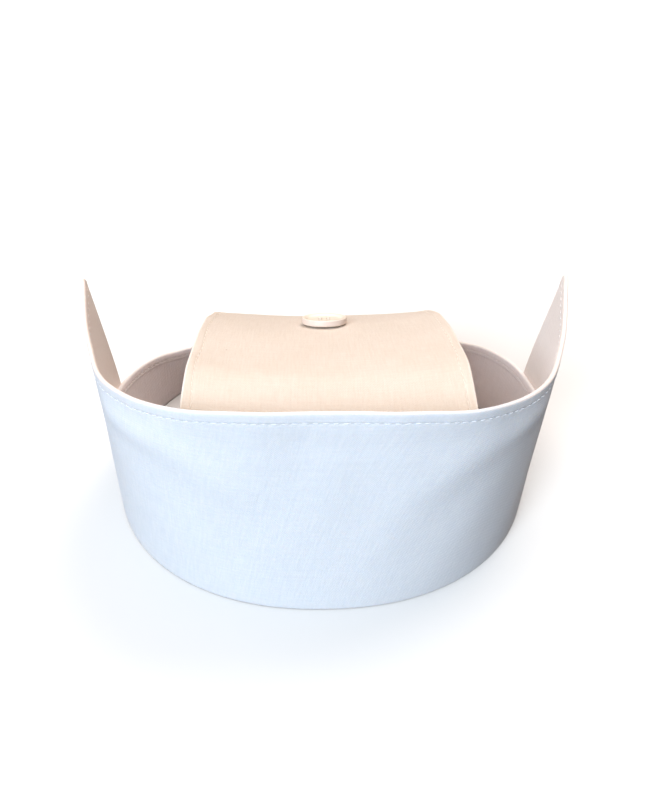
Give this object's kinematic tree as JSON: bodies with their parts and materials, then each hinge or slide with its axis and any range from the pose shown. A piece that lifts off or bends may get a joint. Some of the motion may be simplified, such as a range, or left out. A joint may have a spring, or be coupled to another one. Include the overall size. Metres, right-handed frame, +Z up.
{
  "type": "nurse cap",
  "caption": "Stiff white cloth nurse cap: closed head band with a low back, tall front cuff with upright wing ends, and a crown flap from front to back with a sewn-on button.",
  "frame": {"origin": "on the surface that the cap stands on, below the middle of the cap's box", "axes": "+Z up, -Y towards the front of the cuff, +X to the right seen from the front"},
  "size_m": [0.2078, 0.19, 0.0989],
  "materials": {
    "cotton_band": "stiffened plain-weave white cotton, matt, in warm shade inside the ring",
    "cotton_cuff": "stiffened plain-weave white cotton, matt, with a stitched hem",
    "cotton_flap": "stiffened plain-weave white cotton, matt, with stitched side edges",
    "button_plastic": "off-white moulded plastic with a soft sheen"
  },
  "bodies": {
    "root": {"band": "cotton_band", "cuff": "cotton_cuff", "crown_flap": "cotton_flap", "button": "button_plastic"}
  },
  "joints": []
}
